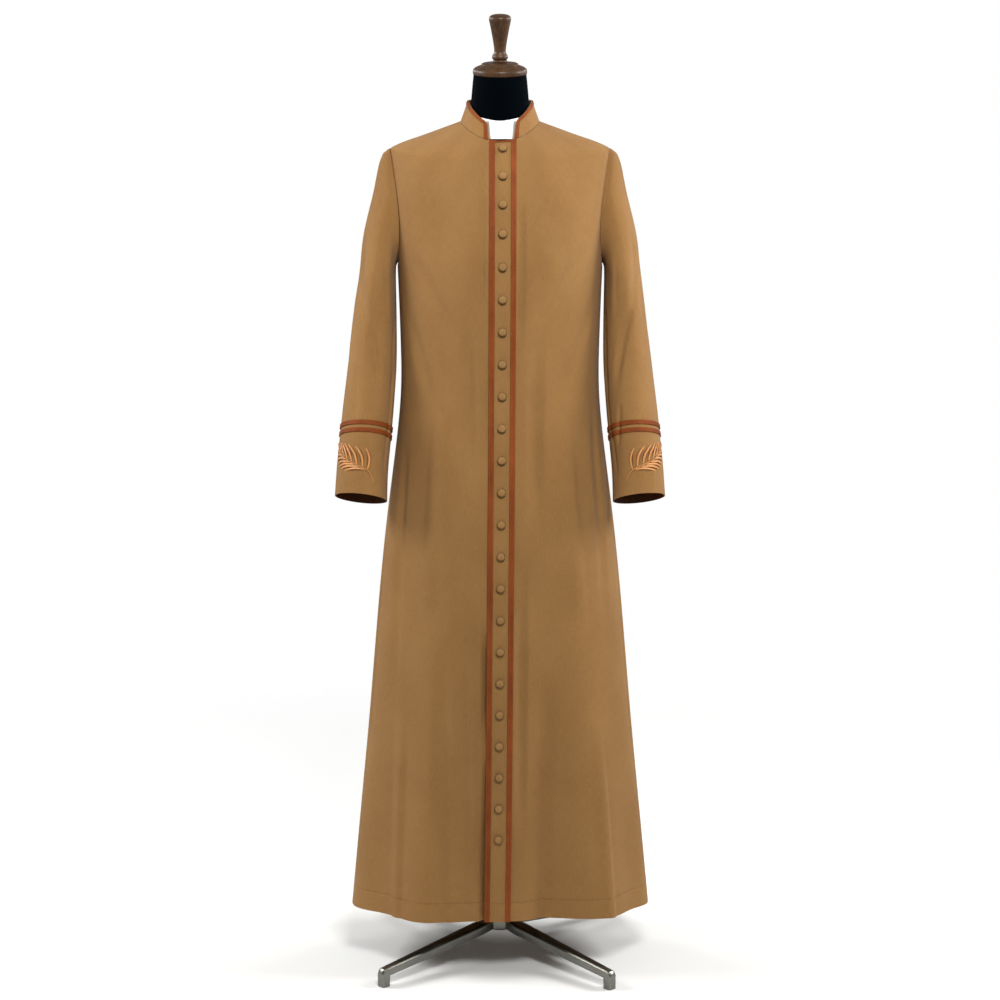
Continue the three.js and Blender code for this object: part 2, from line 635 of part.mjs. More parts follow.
// Neck cap and finial, turned from wood on the neck's axis: radius and height
const CAP_PROFILE = [
  [0, 0], [46, 0], [48.5, 1.5], [48.5, 9], [46.6, 11.5], [42, 14.2], [34.5, 17], [32.6, 19.6], [29.5, 21], [0, 21.6],
];
const FINIAL_PROFILE = [
  [0, 0], [12.8, 0], [12.8, 3.6], [11.4, 4.6], [14, 6.6], [14.6, 9.2], [13.8, 12], [11.4, 15], [10.5, 18.6],
  [10.7, 23], [12.5, 37], [15.7, 55], [18.9, 70], [19.9, 76], [18.4, 80.4], [12, 83.8], [0, 84.7],
];
const TURNED_SIDES = 20;

function turned(profile, height) {
  const lathe = new THREE.LatheGeometry(profile.map(([r, h]) => new THREE.Vector2(r, h)), TURNED_SIDES);
  lathe.rotateX(Math.PI / 2);
  lathe.translate(0, 0, height);
  lathe.rotateX(degToRad(NECK_LEAN));
  lathe.translate(0, NECK_TOP.y, NECK_TOP.z);
  return lathe;
}

add("neck_cap", "wood", turned(CAP_PROFILE, SEAM_GAP));
add("finial", "wood", turned(FINIAL_PROFILE, CAP_PROFILE.at(-1)[1] + 2 * SEAM_GAP));

// Pole from the torso down to the hub
const POLE_RADIUS = 16;
const HUB_TOP = 72;
const pole = new THREE.CylinderGeometry(POLE_RADIUS, POLE_RADIUS, FORM_BOTTOM_Z - HUB_TOP - 2 * SEAM_GAP, 20);
pole.rotateX(Math.PI / 2);
pole.translate(0, 0, (FORM_BOTTOM_Z + HUB_TOP) / 2);
add("pole", "metal", pole);

// Base hub: eight-sided, with a flat for each leg
const BASE_TURN = -1.75; // degrees, from square with the garment
const HUB_PROFILE = [[0, 46], [24, 46], [30, 49.5], [30, 66], [26, HUB_TOP], [0, HUB_TOP]];
const hub = new THREE.LatheGeometry(HUB_PROFILE.map(([r, h]) => new THREE.Vector2(r, h)), 8, Math.PI / 8);
hub.rotateX(Math.PI / 2);
hub.rotateZ(degToRad(BASE_TURN));
add("base_hub", "metal", hub);

// Legs: each slopes down to a foot that turns to the floor, given by its sections from the hub out
const LEG_SECTIONS = table(
  ["radius", "halfWidth", "top", "bottom", "bevel"],
  [
    [28.4, 10, 68, 48.5, 3],
    [60, 14, 64.5, 45.5, 3.5],
    [160, 11.5, 51, 34.5, 3.5],
    [280, 8.5, 35.5, 20, 3],
    [281.5, 8.5, 35.2, 0, 3],
    [293, 8.5, 33.5, 0, 3],
    [297, 7.5, 28, 0, 4],
  ],
);

function legRing({ radius, halfWidth, top, bottom, bevel }, angle) {
  const outline = [
    [-halfWidth, bottom], [halfWidth, bottom], [halfWidth, top - bevel], [halfWidth - bevel, top],
    [bevel - halfWidth, top], [-halfWidth, top - bevel],
  ];
  const [c, s] = [Math.cos(angle), Math.sin(angle)];
  return outline.map(([aside, z]) => vector(radius * c - aside * s, radius * s + aside * c, z));
}

for (const leg of [1, 2, 3, 4]) {
  const angle = degToRad(90 * leg - 135 + BASE_TURN);
  add(`leg_${leg}`, "metal", stack(LEG_SECTIONS.map((section) => legRing(section, angle))));
}

export default cassock;
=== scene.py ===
import math

import bmesh
import bpy
import numpy as np
from mathutils import Matrix, Vector
from mathutils.bvhtree import BVHTree
from mathutils.kdtree import KDTree


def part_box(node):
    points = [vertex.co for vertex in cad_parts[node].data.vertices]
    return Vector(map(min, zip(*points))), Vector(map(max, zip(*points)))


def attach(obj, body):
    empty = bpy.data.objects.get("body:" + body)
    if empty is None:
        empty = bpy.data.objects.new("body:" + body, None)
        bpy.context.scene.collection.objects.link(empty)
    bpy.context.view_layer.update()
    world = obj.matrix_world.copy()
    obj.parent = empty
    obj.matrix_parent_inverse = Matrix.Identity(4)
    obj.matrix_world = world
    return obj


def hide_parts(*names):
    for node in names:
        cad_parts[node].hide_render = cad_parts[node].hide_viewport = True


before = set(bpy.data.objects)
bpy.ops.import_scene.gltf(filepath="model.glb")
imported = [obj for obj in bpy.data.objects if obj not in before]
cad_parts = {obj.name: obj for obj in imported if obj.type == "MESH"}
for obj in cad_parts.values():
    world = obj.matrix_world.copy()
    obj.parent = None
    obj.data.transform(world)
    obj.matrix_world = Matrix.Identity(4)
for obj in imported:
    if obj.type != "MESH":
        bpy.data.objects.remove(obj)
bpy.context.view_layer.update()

# Camera
# It stands four metres before the garment at chest height and looks down on it a little.
lens = bpy.data.cameras.new("camera")
lens.lens = 78.49
lens.sensor_width = 36
camera = bpy.data.objects.new("camera", lens)
camera.location = (0, -4.0, 1.38)
camera.rotation_euler = (math.radians(90 - 7.3787), 0, 0)
bpy.context.scene.collection.objects.link(camera)
bpy.context.scene.camera = camera

# Fronts and back
# Three panels of tan twill suiting, each cut in one length and sewn at the shoulders and sides.
# The cloth hangs from the form's shoulders in soft uneven folds, with drag lines below the armpits.
TWILL_PITCH = 0.0011
HEM_STITCHES_Z = 0.141
HEM_STITCH_PITCH = 0.008
TAPE_END_AREA = 2e-5
CLOTH_LIGHT = (152, 114, 68)
CLOTH_DARK = (128, 91, 50)


def paint(red, green, blue):
    """A colour as it looks on a screen, 0 to 255, in the numbers that a shader takes."""
    shares = [value / 255 for value in (red, green, blue)]
    return [s / 12.92 if s < 0.04 else ((s + 0.055) / 1.055) ** 2.4 for s in shares] + [1]


class Shade:
    """A socket in a material. Arithmetic on it adds Math nodes, and node() adds any other node."""

    def __init__(self, tree, socket=None):
        self.tree = tree
        self.socket = socket

    def node(self, kind, settings, inputs, output=0):
        made = self.tree.nodes.new("ShaderNode" + kind)
        for name, value in settings.items():
            setattr(made, name, value)
        for name, value in inputs.items():
            if isinstance(value, Shade):
                self.tree.links.new(value.socket, made.inputs[name])
            else:
                made.inputs[name].default_value = value
        return Shade(self.tree, made.outputs[output])

    def work(self, operation, *values):
        return self.node("Math", {"operation": operation}, dict(enumerate(values)))

    def __add__(self, other):
        return self.work("ADD", self, other)

    def __sub__(self, other):
        return self.work("SUBTRACT", self, other)

    def __rsub__(self, other):
        return self.work("SUBTRACT", other, self)

    def __mul__(self, other):
        return self.work("MULTIPLY", self, other)

    __radd__ = __add__
    __rmul__ = __mul__

    def scaled(self, *scales):
        return self.node("VectorMath", {"operation": "MULTIPLY"}, {0: self, 1: scales})

    def noise(self, detail=3.0):
        return self.node("TexNoise", {}, {"Vector": self, "Scale": 1.0, "Detail": detail})

    def between(self, low, high):
        return self.node("MapRange", {}, {"Value": self, "From Min": low, "From Max": high})

    def tint(self, dark, light):
        return self.node("Mix", {"data_type": "RGBA"}, {0: self, 6: paint(*dark), 7: paint(*light)}, 2)

    def bump(self, height, strength=1.0):
        return self.node("Bump", {}, {"Height": self, "Distance": height, "Strength": strength})


def finish(name, looks, constants):
    """A new material. looks gives what changes over the surface, constants what is the same all over."""
    made = bpy.data.materials.new(name)
    made.use_nodes = True
    surface = made.node_tree.nodes["Principled BSDF"]
    for socket, value in constants.items():
        surface.inputs[socket].default_value = value
    for socket, value in looks(Shade(made.node_tree)).items():
        made.node_tree.links.new(value.socket, surface.inputs[socket])
    return made


def twill(dark, light):
    """Twill weave on the cloth's own cut, with uneven yarns and a cloudy dye."""

    def looks(shade):
        cut = shade.node("UVMap", {"uv_map": "cut"}, {})
        across = shade.node("SeparateXYZ", {}, {0: cut}, "X")
        along = shade.node("SeparateXYZ", {}, {0: cut}, "Y")
        ribs = shade.work("SINE", (across + along) * (2 * math.pi / TWILL_PITCH))
        threads = shade.work("SINE", along * (4 * math.pi / TWILL_PITCH))
        yarns = cut.scaled(900, 60, 1).noise(2.0)
        slubs = cut.scaled(70, 500, 1).noise(2.0)
        dye = cut.scaled(9, 6, 1).noise(3.0)
        off_hem = shade.work("ABSOLUTE", along - HEM_STITCHES_Z)
        # hem_line is the hem's stitch line: it is sunk in the bump, and darkened in the colour as painted
        # shade in its groove
        hem_line = 1 - off_hem.between(0.0006, 0.0022)
        pricks = shade.work("SINE", across * (2 * math.pi / HEM_STITCH_PITCH)).between(0.2, 0.6)
        tone = 0.35 * yarns + 0.2 * slubs + 0.45 * dye + 0.04 * ribs - 0.12 * hem_line
        weave = 0.6 * ribs + 0.2 * threads + 0.9 * yarns + 0.7 * slubs - (2 + 2 * pricks) * hem_line
        return {
            "Base Color": tone.between(0.28, 0.72).tint(dark, light),
            "Roughness": 0.82 + 0.1 * yarns,
            "Normal": weave.bump(0.00012),
        }

    return looks


CLOTH_SHEEN = {"Specular IOR Level": 0.12, "Sheen Weight": 0.05, "Sheen Roughness": 0.5}
suiting = finish("suiting", twill(CLOTH_DARK, CLOTH_LIGHT), CLOTH_SHEEN)


def form_of(node):
    """A copy of a CAD solid as a welded bmesh, with its triangles joined in pairs."""
    form = bmesh.new()
    form.from_mesh(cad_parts[node].data)
    bmesh.ops.remove_doubles(form, verts=form.verts, dist=1e-5)
    bmesh.ops.join_triangles(
        form,
        faces=form.faces,
        angle_face_threshold=math.radians(60),
        angle_shape_threshold=math.radians(60),
    )
    return form


def piece_of(form, name, finishes):
    """A new object from a bmesh, in the scene, riding with the whole part."""
    mesh = bpy.data.meshes.new(name)
    form.to_mesh(mesh)
    form.free()
    if "custom_normal" in mesh.attributes:
        mesh.attributes.remove(mesh.attributes["custom_normal"])
    mesh.shade_smooth()
    mesh.materials.clear()
    for each in finishes:
        mesh.materials.append(each)
    piece = bpy.data.objects.new(name, mesh)
    bpy.context.scene.collection.objects.link(piece)
    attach(piece, "root")
    return piece


def soften(piece, levels):
    """Rounds a piece by subdivision, and keeps the result as its mesh."""
    rounding = piece.modifiers.new("rounding", "SUBSURF")
    rounding.levels = rounding.render_levels = levels
    seen = piece.evaluated_get(bpy.context.evaluated_depsgraph_get())
    rounded = bpy.data.meshes.new_from_object(seen)
    piece.modifiers.clear()
    piece.data = rounded
    rounded.shade_smooth()
    rounded.set_sharp_from_angle(angle=math.radians(50))


def corner_face(face, sharp):
    """The face, if it is the small cut end of a tape: then two of its sharp edges meet at a corner."""
    if face.calc_area() > TAPE_END_AREA:
        return None
    for corner in face.verts:
        if len(sharp.intersection(corner.link_edges).intersection(face.edges)) == 2:
            return face
    return None


def cloth_piece(node, name, levels, finishes, rim=1.0):
    """A finer piece of cloth on its CAD solid's form. rim is how crisp its long cut edges stay."""
    form = form_of(node)
    crisp = form.edges.layers.float.new("crease_edge")
    sharp = {edge for edge in form.edges if edge.calc_face_angle(0) > math.radians(50)}
    ends = {corner_face(face, sharp) for face in form.faces} - {None}
    for edge in sharp:
        edge[crisp] = rim if ends.isdisjoint(edge.link_faces) else 1
    piece = piece_of(form, name, finishes)
    for face in piece.data.polygons:
        face.material_index = 0
    soften(piece, levels)
    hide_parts(node)
    return piece


def points_of(piece):
    """The piece's points as rows of x, y and z."""
    flat = np.empty(len(piece.data.vertices) * 3)
    piece.data.vertices.foreach_get("co", flat)
    return flat.reshape(-1, 3)


def smooth_rise(share):
    share = np.clip(share, 0, 1)
    return share * share * (3 - 2 * share)


def bell(share):
    return np.cos(np.clip(share, -1, 1) * np.pi / 2) ** 2


def crease(piece, rows, centre):
    """Moves both faces of a cloth piece along soft troughs and ridges.

    Each row gives the angle and height where the crease starts and ends, its half width and its depth in
    millimetres, where a negative depth goes in. centre gives the line that the angles go round."""
    points = points_of(piece)
    away = points - centre(points[:, 2])
    reach = np.hypot(away[:, 0], away[:, 1])
    angles = np.degrees(np.arctan2(away[:, 0], -away[:, 1]))
    depth = np.zeros(len(points))
    for start, top, end, bottom, half_width, rise in rows:
        along = (top - points[:, 2]) / (top - bottom)
        middle = start + (end - start) * along
        off = np.radians((angles - middle + 180) % 360 - 180) * reach * 1000 / half_width
        across = bell(off * (1.15 + 0.15 * np.sign(off)))
        begun = rise / 1000 * across * smooth_rise(along / CREASE_FADE)
        depth += begun * smooth_rise((1 - along) / CREASE_FADE)
    points[:, :2] += away[:, :2] / reach[:, None] * depth[:, None]
    piece.data.vertices.foreach_set("co", points.ravel())
    piece.data.update()


def sink_seam(piece, seam, half_width, depth):
    """Draws the cloth in along a sewn seam, given by points on it. Lengths are in millimetres."""
    points = points_of(piece)
    near = (points[:, 2] > ARMHOLE_BOTTOM) & (np.abs(points[:, 0]) > ARMHOLE_INNERMOST)
    for at in np.flatnonzero(near):
        place = points[at]
        _, _, distance = seam.find(place)
        share = 1 - distance * 1000 / half_width
        if share > 0:
            slope = Vector((place[0] / CHEST_HALF_WIDTH**2, place[1] / CHEST_HALF_DEPTH**2, 0))
            points[at] -= np.array(slope.normalized()) * depth / 1000 * share * share
    piece.data.vertices.foreach_set("co", points.ravel())
    piece.data.update()


def square_shoulders(piece):
    """Lifts the cloth to a corner over the shoulder pad's edge, and draws the sleeve in just below it."""
    points = points_of(piece)
    out = np.abs(points[:, 0])
    up = points[:, 2]
    lift = bell((out - PAD_EDGE) / PAD_HALF_WIDTH) * smooth_rise((up - PAD_FOOT) / PAD_RISE)
    draw = bell((up - DRAW_HEIGHT) / DRAW_HALF_HEIGHT) * smooth_rise((out - DRAW_INNERMOST) / DRAW_RISE)
    points[:, 0] -= np.sign(points[:, 0]) * PAD_DRAW * draw
    points[:, 2] += PAD_LIFT * lift
    piece.data.vertices.foreach_set("co", points.ravel())
    piece.data.update()


def lay_out(piece, centre, radius, opposite=0.0):
    """Gives the piece a UV map in metres of its cut: round the line that centre gives, and up."""
    cut = piece.data.uv_layers.new(name="cut")
    points = points_of(piece)
    away = points - centre(points[:, 2])
    turns = np.arctan2(away[:, 0], -away[:, 1]) - math.radians(opposite)
    turns = (turns + np.pi) % (2 * np.pi) - np.pi
    for face in piece.data.polygons:
        first = turns[face.vertices[0]]
        for loop, vertex in zip(face.loop_indices, face.vertices):
            turn = turns[vertex]
            turn += 2 * np.pi * round((first - turn) / (2 * np.pi))
            cut.data[loop].uv = (turn * radius, points[vertex, 2])


def body_centre(heights):
    return np.stack([0 * heights, 0 * heights, heights], axis=1)


# start angle, top, end angle, bottom, half width mm, depth mm. 0 is the front, 90 the wearer's left.
BODY_CREASES = [
    (-61, 1.335, -27, 1.13, 24, -3.0),
    (-68, 1.25, -47, 1.02, 22, -2.8),
    (-25, 1.24, -22, 0.84, 20, -4.7),
    (-44, 1.08, -47, 0.64, 22, 5.3),
    (-68, 1.02, -64, 0.48, 18, -5.0),
    (-19, 0.66, -18, 0.16, 14, 3.7),
    (-37, 0.68, -33, -0.05, 22, -6.5),
    (-60, 0.55, -56, -0.04, 20, 5.9),
    (-84, 0.86, -80, 0.30, 18, -5.3),
    (-99, 1.10, -96, 0.70, 20, -4.0),
    (-104, 0.66, -108, 0.04, 20, 4.6),
    (17, 1.43, 16, 1.12, 11, -3.4),
    (60, 1.34, 24, 1.16, 25, -3.2),
    (69, 1.26, 44, 1.04, 21, -2.7),
    (30, 1.20, 27, 0.78, 21, -5.3),
    (48, 1.04, 52, 0.60, 24, 5.0),
    (71, 1.10, 66, 0.62, 18, -4.7),
    (17, 0.78, 15, 0.22, 15, -5.0),
    (34, 0.60, 30, -0.06, 22, -6.2),
    (57, 0.50, 59, -0.05, 20, 6.2),
    (82, 0.80, 85, 0.26, 18, -5.0),
    (98, 1.14, 95, 0.66, 20, -4.2),
    (103, 0.62, 106, -0.02, 20, 5.0),
    (114, 1.335, 150, 1.16, 25, -3.2),
    (119, 1.26, 140, 1.02, 22, -2.9),
    (150, 1.22, 153, 0.80, 20, -4.3),
    (172, 1.12, 175, 0.60, 22, -5.0),
    (120, 1.02, 116, 0.50, 20, 5.3),
    (139, 0.74, 137, -0.05, 22, -6.5),
    (160, 0.60, 163, -0.06, 20, 6.2),
    (-115, 1.34, -148, 1.18, 24, -3.3),
    (-121, 1.25, -139, 1.00, 22, -2.8),
    (-148, 1.18, -151, 0.74, 20, -4.7),
    (-168, 1.00, -166, 0.52, 20, 4.3),
    (-122, 1.04, -118, 0.46, 20, 5.0),
    (-137, 0.70, -134, -0.05, 20, -6.2),
    (-157, 0.56, -160, -0.05, 22, 5.6),
]
UNDERLAP_CREASES = [
    (-12.5, 1.50, -13.5, 1.16, 13, -3.0),
    (-11.0, 0.66, -10.8, 0.42, 9, -13.0),
    (-10.6, 0.44, -10.9, 0.20, 7, -9.0),
    (-11.3, 0.33, -11.4, -0.12, 9, -14.0),
]
CREASE_FADE = 0.35
BODY_RADIUS = 0.2
CHEST_HALF_WIDTH = 0.193
CHEST_HALF_DEPTH = 0.126
ARMHOLE_BOTTOM = 1.27
ARMHOLE_INNERMOST = 0.15
ARMHOLE_SINK = (12, 3.0)
LOWEST_SEAM_POINT = 1.29
MOST_SEAM_POINTS = 20000
PAD_EDGE = 0.222
PAD_HALF_WIDTH = 0.034
PAD_FOOT = 1.42
PAD_RISE = 0.05
PAD_LIFT = 0.010
DRAW_HEIGHT = 1.435
DRAW_HALF_HEIGHT = 0.11
DRAW_INNERMOST = 0.19
DRAW_RISE = 0.03
PAD_DRAW = 0.0065

# The armholes' seams, as points along the sleeves' upper edges
armholes = KDTree(MOST_SEAM_POINTS)
for side in ("left", "right"):
    sleeve_form = form_of(f"sleeve_{side}")
    for line in sleeve_form.edges:
        start, end = line.verts
        if start.co.z > LOWEST_SEAM_POINT and line.calc_face_angle(0) > math.radians(50):
            for share in (0.0, 0.2, 0.4, 0.6, 0.8):
                armholes.insert(start.co.lerp(end.co, share), 0)
    sleeve_form.free()
armholes.balance()

PANELS = {
    "front_left": {"flat": (0.42, 1.50), "area": 0.44, "middle": 45, "rounding": 3},
    "front_right": {"flat": (0.40, 1.50), "area": 0.42, "middle": -45, "rounding": 3},
    "back": {"flat": (0.74, 1.50), "area": 0.86, "middle": 180, "rounding": 2},
}
for node, cut in PANELS.items():
    panel = cloth_piece(node, f"{node}_cloth", cut["rounding"], [suiting])
    crease(panel, BODY_CREASES, body_centre)
    if node == "front_right":
        crease(panel, UNDERLAP_CREASES, body_centre)
    sink_seam(panel, armholes, *ARMHOLE_SINK)
    square_shoulders(panel)
    lay_out(panel, body_centre, BODY_RADIUS, cut["middle"])

# Placket
# A strip of the same suiting sewn down the left front's edge, where it laps over the right front.
# The buttons are sewn to it.
PLACKET_RADIUS = 0.14
placket = cloth_piece("placket", "placket_cloth", 3, [suiting])
lay_out(placket, body_centre, PLACKET_RADIUS)

# Sleeves and cuffs
# Set-in sleeves of the same suiting, on round armholes, with a deep cuff sewn to each under the upper trim.
# They hang empty and bent forward a little at the elbow, and a brown lining shows in the open cuffs,
# darkened to stand in for the shade inside them as well.
# height, x and y of the line down the middle of the left sleeve
SLEEVE_LINE = np.array([
    [0.877, 0.251, -0.092],
    [0.925, 0.2495, -0.077],
    [0.975, 0.245, -0.062],
    [1.020, 0.241, -0.049],
    [1.070, 0.2365, -0.035],
    [1.110, 0.233, -0.025],
    [1.190, 0.228, -0.011],
    [1.272, 0.223, -0.004],
    [1.400, 0.208, 0.0],
])
SLEEVE_RADIUS = 0.056
LINING_AND_SHADE_TOP = 1.25


# The inner faces' dark brown is part lining colour and part painted shade, the shade that falls inside the
# sleeves
def lining_and_shade_looks(shade):
    cut = shade.node("UVMap", {"uv_map": "cut"}, {})
    yarns = cut.scaled(500, 80, 1).noise(2.0)
    return {
        "Base Color": yarns.between(0.3, 0.7).tint((62, 33, 14), (88, 50, 23)),
        "Roughness": 0.45 + 0.2 * yarns,
        "Normal": yarns.bump(0.0001),
    }


lining_and_shade = finish("lining_and_shade", lining_and_shade_looks, {"Specular IOR Level": 0.2})


def sleeve_centre(side):
    def centre(heights):
        x = side * np.interp(heights, SLEEVE_LINE[:, 0], SLEEVE_LINE[:, 1])
        y = np.interp(heights, SLEEVE_LINE[:, 0], SLEEVE_LINE[:, 2])
        return np.stack([x, y, heights], axis=1)

    return centre


def line_inside(piece, centre):
    """Gives the faces that look at the sleeve's centre line the second material."""
    for face in piece.data.polygons:
        middle = Vector(centre(np.array([face.center.z]))[0])
        inward = face.normal.dot(face.center - middle) < 0
        face.material_index = int(inward and face.center.z < LINING_AND_SHADE_TOP)


# start angle, top, end angle, bottom, half width mm, depth mm. 0 is the front, 90 the wearer's left.
SLEEVE_CREASES = {
    "left": [
        (30, 1.37, 6, 1.19, 15, -5.0),
        (14, 1.25, -30, 1.06, 14, -5.5),
        (-14, 1.33, -26, 1.19, 13, 2.6),
        (52, 1.33, 40, 1.10, 18, 2.8),
        (-48, 1.24, -60, 1.05, 12, -4.0),
        (-20, 1.055, -38, 0.965, 8, -3.6),
        (-66, 1.14, -60, 0.97, 9, -4.0),
        (110, 1.32, 130, 1.10, 16, -3.2),
        (150, 1.26, 170, 1.08, 15, 3.2),
        (-128, 1.24, -140, 1.04, 15, -3.5),
    ],
    "right": [
        (-46, 1.38, -4, 1.16, 16, -5.5),
        (-4, 1.20, 18, 1.07, 14, -5.0),
        (16, 1.36, 34, 1.17, 14, 2.8),
        (-70, 1.30, -46, 1.08, 18, 2.6),
        (50, 1.22, 58, 1.04, 12, -4.2),
        (-24, 1.12, -16, 1.00, 13, -2.6),
        (66, 1.14, 58, 0.96, 9, -4.2),
        (-112, 1.31, -128, 1.12, 15, -3.0),
        (-154, 1.25, -172, 1.06, 16, 3.5),
        (130, 1.22, 142, 1.05, 15, -3.2),
    ],
}
CUFF_CREASES = {
    "left": [
        (-56, 1.02, -50, 0.90, 10, -2.2),
        (26, 0.99, 20, 0.84, 14, 1.4),
        (150, 1.0, 160, 0.86, 14, -1.9),
    ],
    "right": [
        (57, 1.02, 52, 0.91, 10, -1.9),
        (-30, 0.98, -24, 0.84, 15, 1.2),
        (-150, 1.0, -158, 0.87, 14, -1.6),
    ],
}
SIDES = {"left": 1, "right": -1}

cuffs = {}
for side, sign in SIDES.items():
    centre = sleeve_centre(sign)
    sleeve = cloth_piece(f"sleeve_{side}", f"sleeve_{side}_cloth", 3, [suiting, lining_and_shade])
    crease(sleeve, SLEEVE_CREASES[side] + CUFF_CREASES[side], centre)
    sink_seam(sleeve, armholes, *ARMHOLE_SINK)
    square_shoulders(sleeve)
    lay_out(sleeve, centre, SLEEVE_RADIUS)
    line_inside(sleeve, centre)
    cuff = cloth_piece(f"cuff_{side}", f"cuff_{side}_cloth", 3, [suiting, lining_and_shade])
    crease(cuff, SLEEVE_CREASES[side] + CUFF_CREASES[side], centre)
    lay_out(cuff, centre, SLEEVE_RADIUS)
    line_inside(cuff, centre)
    cuffs[side] = cuff

# Palm fronds
# One is embroidered on the outer half of each cuff in copper silk: a curved stem with slim leaflets on
# both sides. Each leaflet is padded, with satin stitches that run slantwise over it, and the sides of the
# stem and leaflets are painted dark as shade where the padding turns away.
# Lengths are in millimetres, in the frond's own plane: x goes outwards round the cuff and y goes up.
# The foot's place is in degrees from the front and metres up.
FROND_FOOT = (25, 0.912)
CUFF_RADIUS = 52
OUTSIDE_CUFF = 0.12
STEM_LINE = [
    (0, 0), (2, 5), (5, 11), (9, 17), (13, 21.5), (22, 27),
    (34, 33), (48, 39.5), (62, 46), (74, 51.5), (84, 56),
]
STEM_HALF_WIDTH = 1.7
# where it leaves the stem (share of its length), side (1 is the upper one), slant from the stem, length
LEAFLETS = [
    (0.24, 1, 40, 39), (0.33, 1, 39, 40), (0.42, 1, 37, 39), (0.51, 1, 35, 37),
    (0.60, 1, 33, 34), (0.69, 1, 31, 30), (0.78, 1, 28, 26), (0.87, 1, 23, 22),
    (0.25, -1, 38, 36), (0.34, -1, 39, 40), (0.43, -1, 39, 40), (0.52, -1, 38, 37),
    (0.62, -1, 36, 33), (0.72, -1, 33, 28), (0.82, -1, 28, 24), (0.93, 1, 2, 22),
]
LEAFLET_HALF_WIDTH = 3.2
LEAFLET_BEND = 0.11
SATIN_CROWN = 1.7
SATIN_PITCH = 0.0006


def surface_of(piece):
    """A tree that finds points on the piece's surface."""
    form = bmesh.new()
    form.from_mesh(piece.data)
    tree = BVHTree.FromBMesh(form)
    form.free()
    return tree


def point_on(line, share):
    """A point on a line of many points, at a share of its length, and the line's direction there."""
    line = np.array(line, float)
    steps = np.hypot(*np.diff(line, axis=0).T)
    reached = np.concatenate([[0], np.cumsum(steps)]) / steps.sum()
    x, y = (np.interp([share, share + 0.01, share - 0.01], reached, line[:, axis]) for axis in (0, 1))
    direction = Vector((x[1] - x[2], y[1] - y[2])).normalized()
    return Vector((x[0], y[0])), direction


def satin(form, line, half_width, crown, rings):
    """Adds a closed padded shape, pointed at both ends, along a line in the frond's plane."""
    threads = form.loops.layers.uv.verify()
    made = bmesh.ops.create_uvsphere(form, u_segments=10, v_segments=rings, radius=1)
    length = sum(math.dist(a, b) for a, b in zip(line, line[1:]))
    for face in {face for point in made["verts"] for face in point.link_faces}:
        for loop in face.loops:
            across, _, along = loop.vert.co
            loop[threads].uv = (across * 0.003, along * length / 2000)
    for point in made["verts"]:
        across, rise, along = point.co
        slim = max(0, 1 - along * along) ** 0.25
        place, direction = point_on(line, (along + 1) / 2)
        place += Vector((-direction.y, direction.x)) * across * slim * half_width
        point.co = (place.x, place.y, rise * slim * crown)


def embroidered(shade):
    threads = shade.node("UVMap", {}, {})
    across = shade.node("SeparateXYZ", {}, {0: threads}, "X")
    along = shade.node("SeparateXYZ", {}, {0: threads}, "Y")
    strands = shade.work("SINE", (along + 0.6 * across) * (2 * math.pi / SATIN_PITCH))
    uneven = threads.scaled(700, 1500, 1).noise(2.0)
    # edge marks the sides of each leaflet and of the stem, and the colour is darkened there as painted
    # shade where the padding turns away
    edge = shade.work("ABSOLUTE", across).between(0.0006, 0.0021)
    tone = 0.88 + 0.12 * strands + 0.5 * (uneven - 0.5) - 0.95 * edge
    return {
        "Base Color": tone.between(0.0, 1.0).tint((112, 56, 24), (234, 164, 92)),
        "Roughness": 0.38 + 0.15 * uneven,
        "Normal": (strands + uneven).bump(0.00015),
    }


silk = finish("copper_silk", embroidered, {"Specular IOR Level": 0.4})
for side, sign in SIDES.items():
    form = bmesh.new()
    satin(form, STEM_LINE, STEM_HALF_WIDTH, SATIN_CROWN, 40)
    for share, upper, slant, length in LEAFLETS:
        root, stem = point_on(STEM_LINE, share)
        lean = stem.copy()
        lean.rotate(Matrix.Rotation(math.radians(upper * slant), 2))
        aside = Vector((-lean.y, lean.x)) * LEAFLET_BEND * length
        parts = (0, 0.25, 0.5, 0.75, 1)
        line = [root + lean * length * part + aside * math.sin(math.pi * part) for part in parts]
        satin(form, line, LEAFLET_HALF_WIDTH, SATIN_CROWN, 12)
    cloth = surface_of(cuffs[side])
    centre = sleeve_centre(sign)
    for point in form.verts:
        turn = math.radians(-sign * FROND_FOOT[0]) + sign * point.co.x / CUFF_RADIUS
        middle = Vector(centre(np.array([FROND_FOOT[1] + point.co.y / 1000]))[0])
        outwards = Vector((math.sin(turn), -math.cos(turn), 0))
        seat, facing, _, _ = cloth.ray_cast(middle + outwards * OUTSIDE_CUFF, -outwards)
        point.co = seat + facing * point.co.z / 1000
    bmesh.ops.recalc_face_normals(form, faces=form.faces)
    frond = piece_of(form, f"frond_{side}", [silk])

# Collar
# A stiff standing band of the same suiting, sewn to the neckline and open at the front.
# It is cut nearly straight and turned on the iron, so it stands up and leans in a little.
COLLAR_RADIUS = 0.066
collar = cloth_piece("collar", "collar_cloth", 3, [suiting])
lay_out(collar, body_centre, COLLAR_RADIUS, 180)

# Collar insert
# A smooth white strip, tucked into the collar's notch from behind.
# Its face is painted grey along the notch's sides, as the shade that the collar's edges cast on it, and its
# foot is cut level just above the placket.
NOTCH_MIDDLE = 0.0024
NOTCH_FOOT = 1.5185
NOTCH_SPREAD = 0.098
WHITE_HALF_WIDTH = 0.01875


